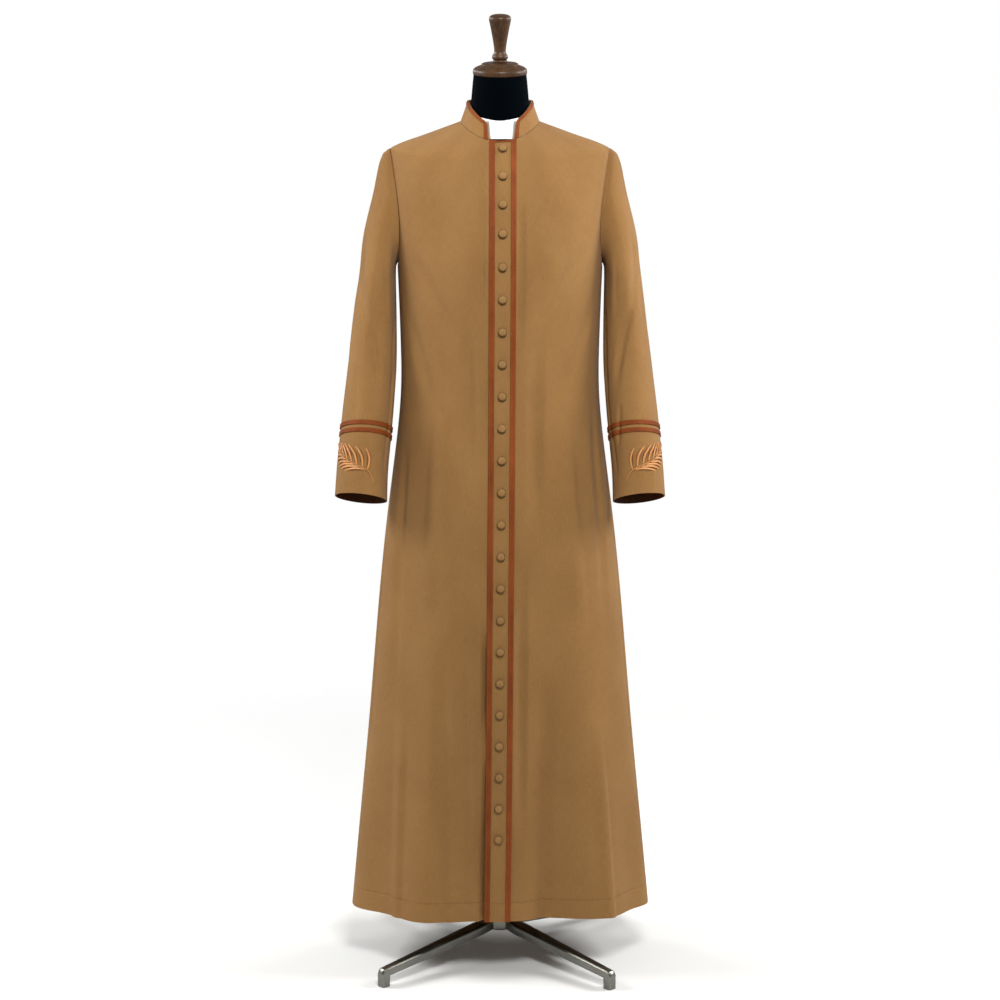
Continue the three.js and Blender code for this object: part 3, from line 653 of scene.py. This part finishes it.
def coated(shade):
    place = shade.node("TexCoord", {}, {}, "Object")
    mottle = place.scaled(60, 60, 60).noise(2.0)
    across = shade.node("SeparateXYZ", {}, {0: place}, "X")
    up = shade.node("SeparateXYZ", {}, {0: place}, "Z")
    aside = shade.work("ABSOLUTE", across - NOTCH_MIDDLE)
    widening = NOTCH_SPREAD * (up - NOTCH_FOOT)
    # Along the notch's sides the white is painted grey, as the shade that the collar's edges cast on it
    side = (aside - widening).between(WHITE_HALF_WIDTH - 0.0005, WHITE_HALF_WIDTH + 0.0005)
    painted_notch_shade = side * (1 - up.between(1.549, 1.552))
    white = 0.2 * mottle + 0.8 - 0.8 * painted_notch_shade
    return {
        "Base Color": white.tint((128, 122, 118), (250, 250, 249)),
        "Roughness": 0.35 + 0.12 * mottle,
        "Normal": place.scaled(900, 900, 900).noise(2.0).bump(0.00003),
    }


insert_face = finish("insert_face", coated, {"Specular IOR Level": 0.4})
insert = cloth_piece("collar_tab", "collar_insert", 3, [insert_face])
foot = bmesh.new()
foot.from_mesh(insert.data)
bmesh.ops.bisect_plane(
    foot,
    geom=foot.verts[:] + foot.edges[:] + foot.faces[:],
    plane_co=(0, 0, NOTCH_FOOT),
    plane_no=(0, 0, 1),
    clear_inner=True,
)
bmesh.ops.holes_fill(foot, edges=[edge for edge in foot.edges if edge.is_boundary])
foot.to_mesh(insert.data)
foot.free()

# Trims
# Russet tape, folded and sewn down both sides of the placket, across its top, round the collar and twice
# round each sleeve. Its section is softly rolled.
TRIM_LIGHT = (138, 69, 28)
TRIM_DARK = (92, 42, 14)


def taped(shade):
    place = shade.node("TexCoord", {}, {}, "Object")
    grain = place.scaled(700, 700, 700).noise(2.0)
    worn = place.scaled(30, 30, 14).noise(3.0)
    tone = 0.5 * grain + 0.5 * worn
    return {
        "Base Color": tone.between(0.3, 0.7).tint(TRIM_DARK, TRIM_LIGHT),
        "Roughness": 0.6 + 0.2 * grain,
        "Normal": grain.bump(0.0002),
    }


tape = finish("trim_tape", taped, {"Specular IOR Level": 0.12})
# length and width of each tape
TAPES = {
    "front_trim_right": (1.415, 0.010),
    "front_trim_left": (1.415, 0.010),
    "placket_top": (0.0275, 0.0052),
    "collar_trim": (0.49, 0.0068),
    "cuff_trim_upper_left": (0.36, 0.0085),
    "cuff_trim_upper_right": (0.36, 0.0085),
    "cuff_trim_lower_left": (0.355, 0.0085),
    "cuff_trim_lower_right": (0.355, 0.0085),
}
trims = {}
for node, (length, width) in TAPES.items():
    trim = cloth_piece(node, f"{node}_tape", 3, [tape], rim=0.2)
    if node.startswith("cuff"):
        side = node.split("_")[-1]
        crease(trim, SLEEVE_CREASES[side] + CUFF_CREASES[side], sleeve_centre(SIDES[side]))
    trims[node] = trim

# Edge stitching
# Short machine stitches in russet thread hold the trims down the front and round the cuffs.
# They run in a row near each edge of the tape, and one mesh holds all the stitches of a trim.
# Stitches are in millimetres. Each row's distance from the tape's middle is in metres.
STITCH = {"half_length": 1.15, "half_width": 0.28, "height": 0.24, "pitch": 3.1}
FRONT_ROWS = 0.0031
CUFF_ROWS = 0.0025
ROW_END_GAP = 0.004
ROW_SMOOTHING = 6


def thread_looks(shade):
    place = shade.node("TexCoord", {}, {}, "Object")
    twist = place.scaled(2600, 2600, 2600).noise(1.0)
    return {
        "Base Color": twist.between(0.3, 0.7).tint((116, 54, 20), (170, 92, 42)),
        "Roughness": 0.45 + 0.2 * twist,
    }


thread = finish("russet_thread", thread_looks, {"Specular IOR Level": 0.4})


def stitched(name, seats, finishes):
    """One object with a stitch at each seat: a place, the way out of the cloth and the row's direction."""
    shape = bmesh.new()
    bmesh.ops.create_uvsphere(shape, u_segments=6, v_segments=4, radius=1)
    corners = np.array([point.co for point in shape.verts])
    corners *= np.array([STITCH["half_width"], STITCH["height"], STITCH["half_length"]]) / 1000
    sides = [[point.index for point in face.verts] for face in shape.faces]
    shape.free()
    points = []
    faces = []
    for place, outwards, along in seats:
        aside = outwards.cross(along)
        first = len(points) * len(corners)
        faces += [[first + index for index in side] for side in sides]
        points.append(corners @ np.array([aside, outwards, along]) + np.array(place))
    mesh = bpy.data.meshes.new(name)
    mesh.from_pydata(np.concatenate(points).tolist(), [], faces)
    mesh.shade_smooth()
    for each in finishes:
        mesh.materials.append(each)
    piece = bpy.data.objects.new(name, mesh)
    bpy.context.scene.collection.objects.link(piece)
    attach(piece, "root")
    return piece


def row_of(tree, starts, ways):
    """Seats for stitches where rays from the starts, in the ways given, meet a trim."""
    hits = [tree.ray_cast(Vector(start), Vector(way)) for start, way in zip(starts, ways)]
    hits = [(place, outwards) for place, outwards, _, _ in hits if place]
    seats = []
    for (place, outwards), (following, _) in zip(hits, hits[1:]):
        along = following - place
        along = (along - outwards * along.dot(outwards)).normalized()
        seats.append((place + outwards * STITCH["height"] / 4000, outwards, along))
    return seats


for side in SIDES:
    trim = trims[f"front_trim_{side}"]
    points = points_of(trim)
    bottom = points[:, 2].min() + ROW_END_GAP
    top = points[:, 2].max() - ROW_END_GAP
    heights = np.arange(bottom, top, STITCH["pitch"] / 1000)
    middles = [points[np.abs(points[:, 2] - height) < 0.02, 0] for height in heights]
    middles = np.array([(near.min() + near.max()) / 2 for near in middles])
    window = 2 * ROW_SMOOTHING + 1
    middles = np.convolve(np.pad(middles, ROW_SMOOTHING, "edge"), np.ones(window) / window, "valid")
    seats = []
    for row in (-FRONT_ROWS, FRONT_ROWS):
        starts = [(middle + row, -1, height) for middle, height in zip(middles, heights)]
        seats += row_of(surface_of(trim), starts, [(0, 1, 0)] * len(starts))
    stitches = stitched(f"front_stitches_{side}", seats, [thread])

for side, sign in SIDES.items():
    for level in ("upper", "lower"):
        trim = trims[f"cuff_trim_{level}_{side}"]
        points = points_of(trim)
        away = points - sleeve_centre(sign)(points[:, 2])
        turns = np.arctan2(away[:, 0], -away[:, 1])
        steps = round(2 * math.pi * CUFF_RADIUS / STITCH["pitch"])
        seats = []
        for row in (-CUFF_ROWS, CUFF_ROWS):
            starts = []
            ways = []
            for turn in np.linspace(0, 2 * math.pi, steps + 1):
                off = np.abs((turns - turn + math.pi) % (2 * math.pi) - math.pi)
                height = points[off < 0.09, 2].mean() + row
                outwards = np.array([math.sin(turn), -math.cos(turn), 0])
                starts.append(sleeve_centre(sign)(np.array([height]))[0] + outwards * OUTSIDE_CUFF)
                ways.append(-outwards)
            seats += row_of(surface_of(trim), starts, ways)
        stitches = stitched(f"cuff_stitches_{level}_{side}", seats, [thread])

# Buttons
# Small metal moulds covered with the garment's own cloth, domed, and sewn through the placket.
# The cloth is gathered in small pleats round the edge. The rim is painted dark as the shadow under the
# dome, and the light and dark of the pleats is painted shade as well.
# radius and height in millimetres
BUTTON_PROFILE = [
    (0, -0.2), (5.2, -0.2), (5.6, 0.5), (6.6, 0.9), (7.6, 1.7), (8.05, 2.8),
    (7.9, 3.8), (7.2, 4.7), (5.8, 5.5), (3.9, 6.0), (1.9, 6.2), (0, 6.25),
]
BUTTON_STEPS = 28
BUTTON_GATHERS = 22
BUTTON_CLEARANCE = 0.00035


def turned(profile, steps):
    """A closed solid turned round Z from a profile of radius and height in millimetres."""
    form = bmesh.new()
    line = [form.verts.new((radius / 1000, 0, height / 1000)) for radius, height in profile]
    for low, high in zip(line, line[1:]):
        form.edges.new((low, high))
    bmesh.ops.spin(
        form,
        geom=form.verts[:] + form.edges[:],
        cent=(0, 0, 0),
        axis=(0, 0, 1),
        dvec=(0, 0, 0),
        angle=2 * math.pi,
        steps=steps,
        use_merge=True,
        use_duplicate=False,
    )
    bmesh.ops.remove_doubles(form, verts=form.verts, dist=1e-6)
    bmesh.ops.recalc_face_normals(form, faces=form.faces)
    return form


def gathered_with_painted_rim_shade(shade):
    place = shade.node("TexCoord", {}, {}, "Object")
    round_edge = shade.node("UVMap", {}, {})
    turn = shade.node("SeparateXYZ", {}, {0: round_edge}, "X")
    out = shade.node("SeparateXYZ", {}, {0: round_edge}, "Y")
    yarns = place.scaled(900, 900, 900).noise(2.0)
    dye = place.scaled(40, 40, 40).noise(2.0)
    gathers = shade.work("SINE", turn * (2 * math.pi * BUTTON_GATHERS))
    # edge marks the button's rim: the colour is darkened there as painted shadow under the dome, and the
    # pleats' light and dark in the colour is painted shade; their relief is in the bump
    edge = out.between(0.0056, 0.0074)
    tone = 0.55 * yarns + 0.45 * dye + 0.12 * gathers * edge
    return {
        "Base Color": (tone - 0.6 * edge).between(-0.6, 0.75).tint((52, 30, 12), CLOTH_LIGHT),
        "Roughness": 0.75 + 0.1 * yarns,
        "Normal": (yarns + 1.5 * gathers * edge).bump(0.0003),
    }


button_cloth = finish("button_cloth", gathered_with_painted_rim_shade, CLOTH_SHEEN)
placket_face = surface_of(placket)
button_nodes = sorted(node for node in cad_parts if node.startswith("button_"))
for node in button_nodes:
    low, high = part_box(node)
    middle = (Vector(low) + Vector(high)) / 2
    seat, outwards, _, _ = placket_face.ray_cast(Vector((middle.x, -1, middle.z)), Vector((0, 1, 0)))
    form = turned(BUTTON_PROFILE, BUTTON_STEPS)
    round_edge = form.loops.layers.uv.verify()
    for face in form.faces:
        inside = face.calc_center_median()
        middle_turn = math.atan2(inside.y, inside.x)
        for loop in face.loops:
            x, y, _ = loop.vert.co
            turn = middle_turn + math.remainder(math.atan2(y, x) - middle_turn, 2 * math.pi)
            loop[round_edge].uv = (turn / (2 * math.pi), math.hypot(x, y))
    form.transform(outwards.to_track_quat("Z", "Y").to_matrix().to_4x4())
    form.transform(Matrix.Translation(seat + outwards * BUTTON_CLEARANCE))
    button = piece_of(form, f"{node}_cover", [button_cloth])
    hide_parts(node)

# Dress form
# A padded torso that the garment hangs on, with a short neck and no arms.
# Its cover is black jersey, drawn smooth over the shoulders and up the neck.
def jersey_looks(shade):
    place = shade.node("TexCoord", {}, {}, "Object")
    across = shade.node("SeparateXYZ", {}, {0: place}, "X")
    up = shade.node("SeparateXYZ", {}, {0: place}, "Z")
    knit = shade.work("SINE", across * 2600) * shade.work("SINE", up * 2600)
    pile = place.scaled(500, 500, 500).noise(2.0)
    return {
        "Base Color": pile.between(0.3, 0.7).tint((1, 3, 5), (4, 8, 13)),
        "Roughness": 0.7 + 0.15 * pile,
        "Normal": (0.5 * knit + pile).bump(0.0002),
    }


jersey = finish("jersey", jersey_looks, {"Specular IOR Level": 0.01})
torso = cloth_piece("form_torso", "torso_jersey", 2, [jersey])

# Neck cap and finial
# Both are turned from a brown hardwood and varnished.
# The cap closes the leaning neck, and the finial stands on it.
NECK_LEAN = 10.5
NECK_TOP = (0, -0.024, 1.634)
# radius and height in millimetres, up from the neck's top
CAP_PROFILE = [
    (0, 0.4), (45.4, 0.4), (47.4, 0.8), (48.4, 1.8), (48.7, 3.4), (48.7, 7.4), (48.3, 9.6),
    (47.3, 11.0), (46.0, 12.0), (44.2, 13.2), (40.4, 14.9), (36.8, 16.2), (34.6, 17.1),
    (33.6, 17.9), (33.0, 19.1), (32.0, 20.2), (30.2, 21.0), (27.6, 21.4), (14, 21.7), (0, 21.8),
]
FINIAL_PROFILE = [
    (0, 22.3), (12.3, 22.3), (12.8, 22.7), (12.9, 25.2), (12.4, 26.1), (11.5, 26.7), (12.3, 27.5),
    (13.7, 28.7), (14.4, 30.2), (14.6, 31.6), (14.3, 33.2), (13.4, 35.2), (12.0, 37.2), (10.9, 39.2),
    (10.5, 41.6), (10.6, 45.4), (11.2, 51.4), (12.4, 59.0), (14.0, 68.0), (15.7, 77.4), (17.4, 85.8),
    (18.8, 92.4), (19.7, 96.8), (19.9, 99.2), (19.3, 101.6), (17.6, 103.7), (14.6, 105.3), (10, 106.5),
    (5, 107.0), (0, 107.1),
]
TURNING_STEPS = 56


def grained(shade):
    place = shade.node("TexCoord", {}, {}, "Object")
    fibres = place.scaled(340, 340, 30).noise(4.0)
    figure = place.scaled(60, 60, 9).noise(3.0)
    tone = 0.55 * fibres + 0.6 * figure
    return {
        "Base Color": tone.between(0.34, 0.78).tint((32, 20, 12), (82, 55, 31)),
        "Roughness": 0.34 + 0.2 * fibres,
        "Normal": fibres.bump(0.0001),
    }


VARNISH = {"Specular IOR Level": 0.25, "Coat Weight": 0.06, "Coat Roughness": 0.2}
wood = finish("turned_wood", grained, VARNISH)
for node, profile in {"neck_cap": CAP_PROFILE, "finial": FINIAL_PROFILE}.items():
    form = turned(profile, TURNING_STEPS)
    form.transform(Matrix.Translation(NECK_TOP) @ Matrix.Rotation(math.radians(NECK_LEAN), 4, "X"))
    turning = piece_of(form, f"{node}_wood", [wood])
    turning.data.set_sharp_from_angle(angle=math.radians(50))
    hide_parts(node)

# Pole, hub and legs
# A plain tube stands in a cast hub with four cast legs that reach out to the floor.
# They are polished aluminium, and the castings' edges are eased.
# radius and height in millimetres
POLE_PROFILE = [(0, 72.4), (16, 72.4), (16, 849.6), (0, 849.6)]
POLE_STEPS = 48
EASE = 0.0012


def cast(shade):
    place = shade.node("TexCoord", {}, {}, "Object")
    brushing = place.scaled(260, 260, 260).noise(3.0)
    clouds = place.scaled(14, 14, 14).noise(3.0)
    tone = 0.4 * brushing + 0.6 * clouds
    return {
        "Base Color": tone.between(0.3, 0.7).tint((104, 103, 97), (136, 136, 130)),
        "Roughness": 0.2 + 0.16 * clouds + 0.08 * brushing,
        "Normal": brushing.bump(0.00008),
    }


aluminium = finish("cast_aluminium", cast, {"Metallic": 1.0})

form = turned(POLE_PROFILE, POLE_STEPS)
pole = piece_of(form, "pole_tube", [aluminium])
pole.data.set_sharp_from_angle(angle=math.radians(50))
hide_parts("pole")

for node in ["base_hub", "leg_1", "leg_2", "leg_3", "leg_4"]:
    form = form_of(node)
    bmesh.ops.dissolve_limit(form, angle_limit=math.radians(1), verts=form.verts, edges=form.edges)
    corners = [edge for edge in form.edges if edge.calc_face_angle(0) > math.radians(15)]
    bmesh.ops.bevel(
        form,
        geom=corners,
        offset=EASE,
        segments=3,
        profile=0.5,
        affect="EDGES",
        material=-1,
        clamp_overlap=True,
    )
    casting = piece_of(form, f"{node}_casting", [aluminium])
    casting.data.set_sharp_from_angle(angle=math.radians(40))
    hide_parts(node)

# Floor and studio light
# A pale floor fades into a white surround. One soft light stands high in front with a narrow beam,
# two strong ones stand at the sides and two weaker ones behind.
form = bmesh.new()
bmesh.ops.create_circle(form, cap_ends=True, radius=3, segments=96)
floor_mesh = bpy.data.meshes.new("floor")
form.to_mesh(floor_mesh)
form.free()
floor = bpy.data.objects.new("floor", floor_mesh)
bpy.context.scene.collection.objects.link(floor)


def pale(shade):
    place = shade.node("TexCoord", {}, {}, "Object")
    out = shade.node("VectorMath", {"operation": "LENGTH"}, {0: place}, "Value")
    return {
        "Base Color": place.scaled(2, 2, 2).noise(2.0).tint((228, 228, 226), (234, 234, 232)),
        "Alpha": 1 - out.between(0.5, 2.4),
    }


floor_mesh.materials.append(finish("pale_floor", pale, {"Roughness": 0.9, "Specular IOR Level": 0.1}))

# The surround looks white and gives little light, as a lit wall far behind does
world = bpy.data.worlds.new("surround")
world.use_nodes = True
air = Shade(world.node_tree)
looked_at = air.node("LightPath", {}, {}, "Is Camera Ray")
brightness = 0.3 + 0.7 * looked_at
surround = world.node_tree.nodes["Background"]
surround.inputs["Color"].default_value = (1, 1, 1, 1)
world.node_tree.links.new(brightness.socket, surround.inputs["Strength"])
bpy.context.scene.world = world

# place, aim, width, watts, how far its beam spreads in degrees
LIGHTS = {
    "top": ((0.4, -2.4, 2.9), (0, 0, 1.15), 0.8, 13, 65),
    "left": ((2.7, 0.1, 2.4), (0, 0, 1.2), 1.2, 82, 180),
    "right": ((-2.7, 0.1, 2.4), (0, 0, 1.2), 1.2, 82, 180),
    "back_left": ((2.4, 2.4, 2.6), (0, 0, 1.1), 1.2, 32, 180),
    "back_right": ((-2.4, 2.4, 2.6), (0, 0, 1.1), 1.2, 32, 180),
}
for name, (place, aim, width, watts, beam) in LIGHTS.items():
    lamp = bpy.data.lights.new(name, "AREA")
    lamp.size = width
    lamp.energy = watts
    lamp.spread = math.radians(beam)
    light = bpy.data.objects.new(name, lamp)
    light.location = place
    light.rotation_euler = (Vector(aim) - Vector(place)).to_track_quat("-Z", "Y").to_euler()
    bpy.context.scene.collection.objects.link(light)
bpy.context.scene.view_settings.view_transform = "Standard"
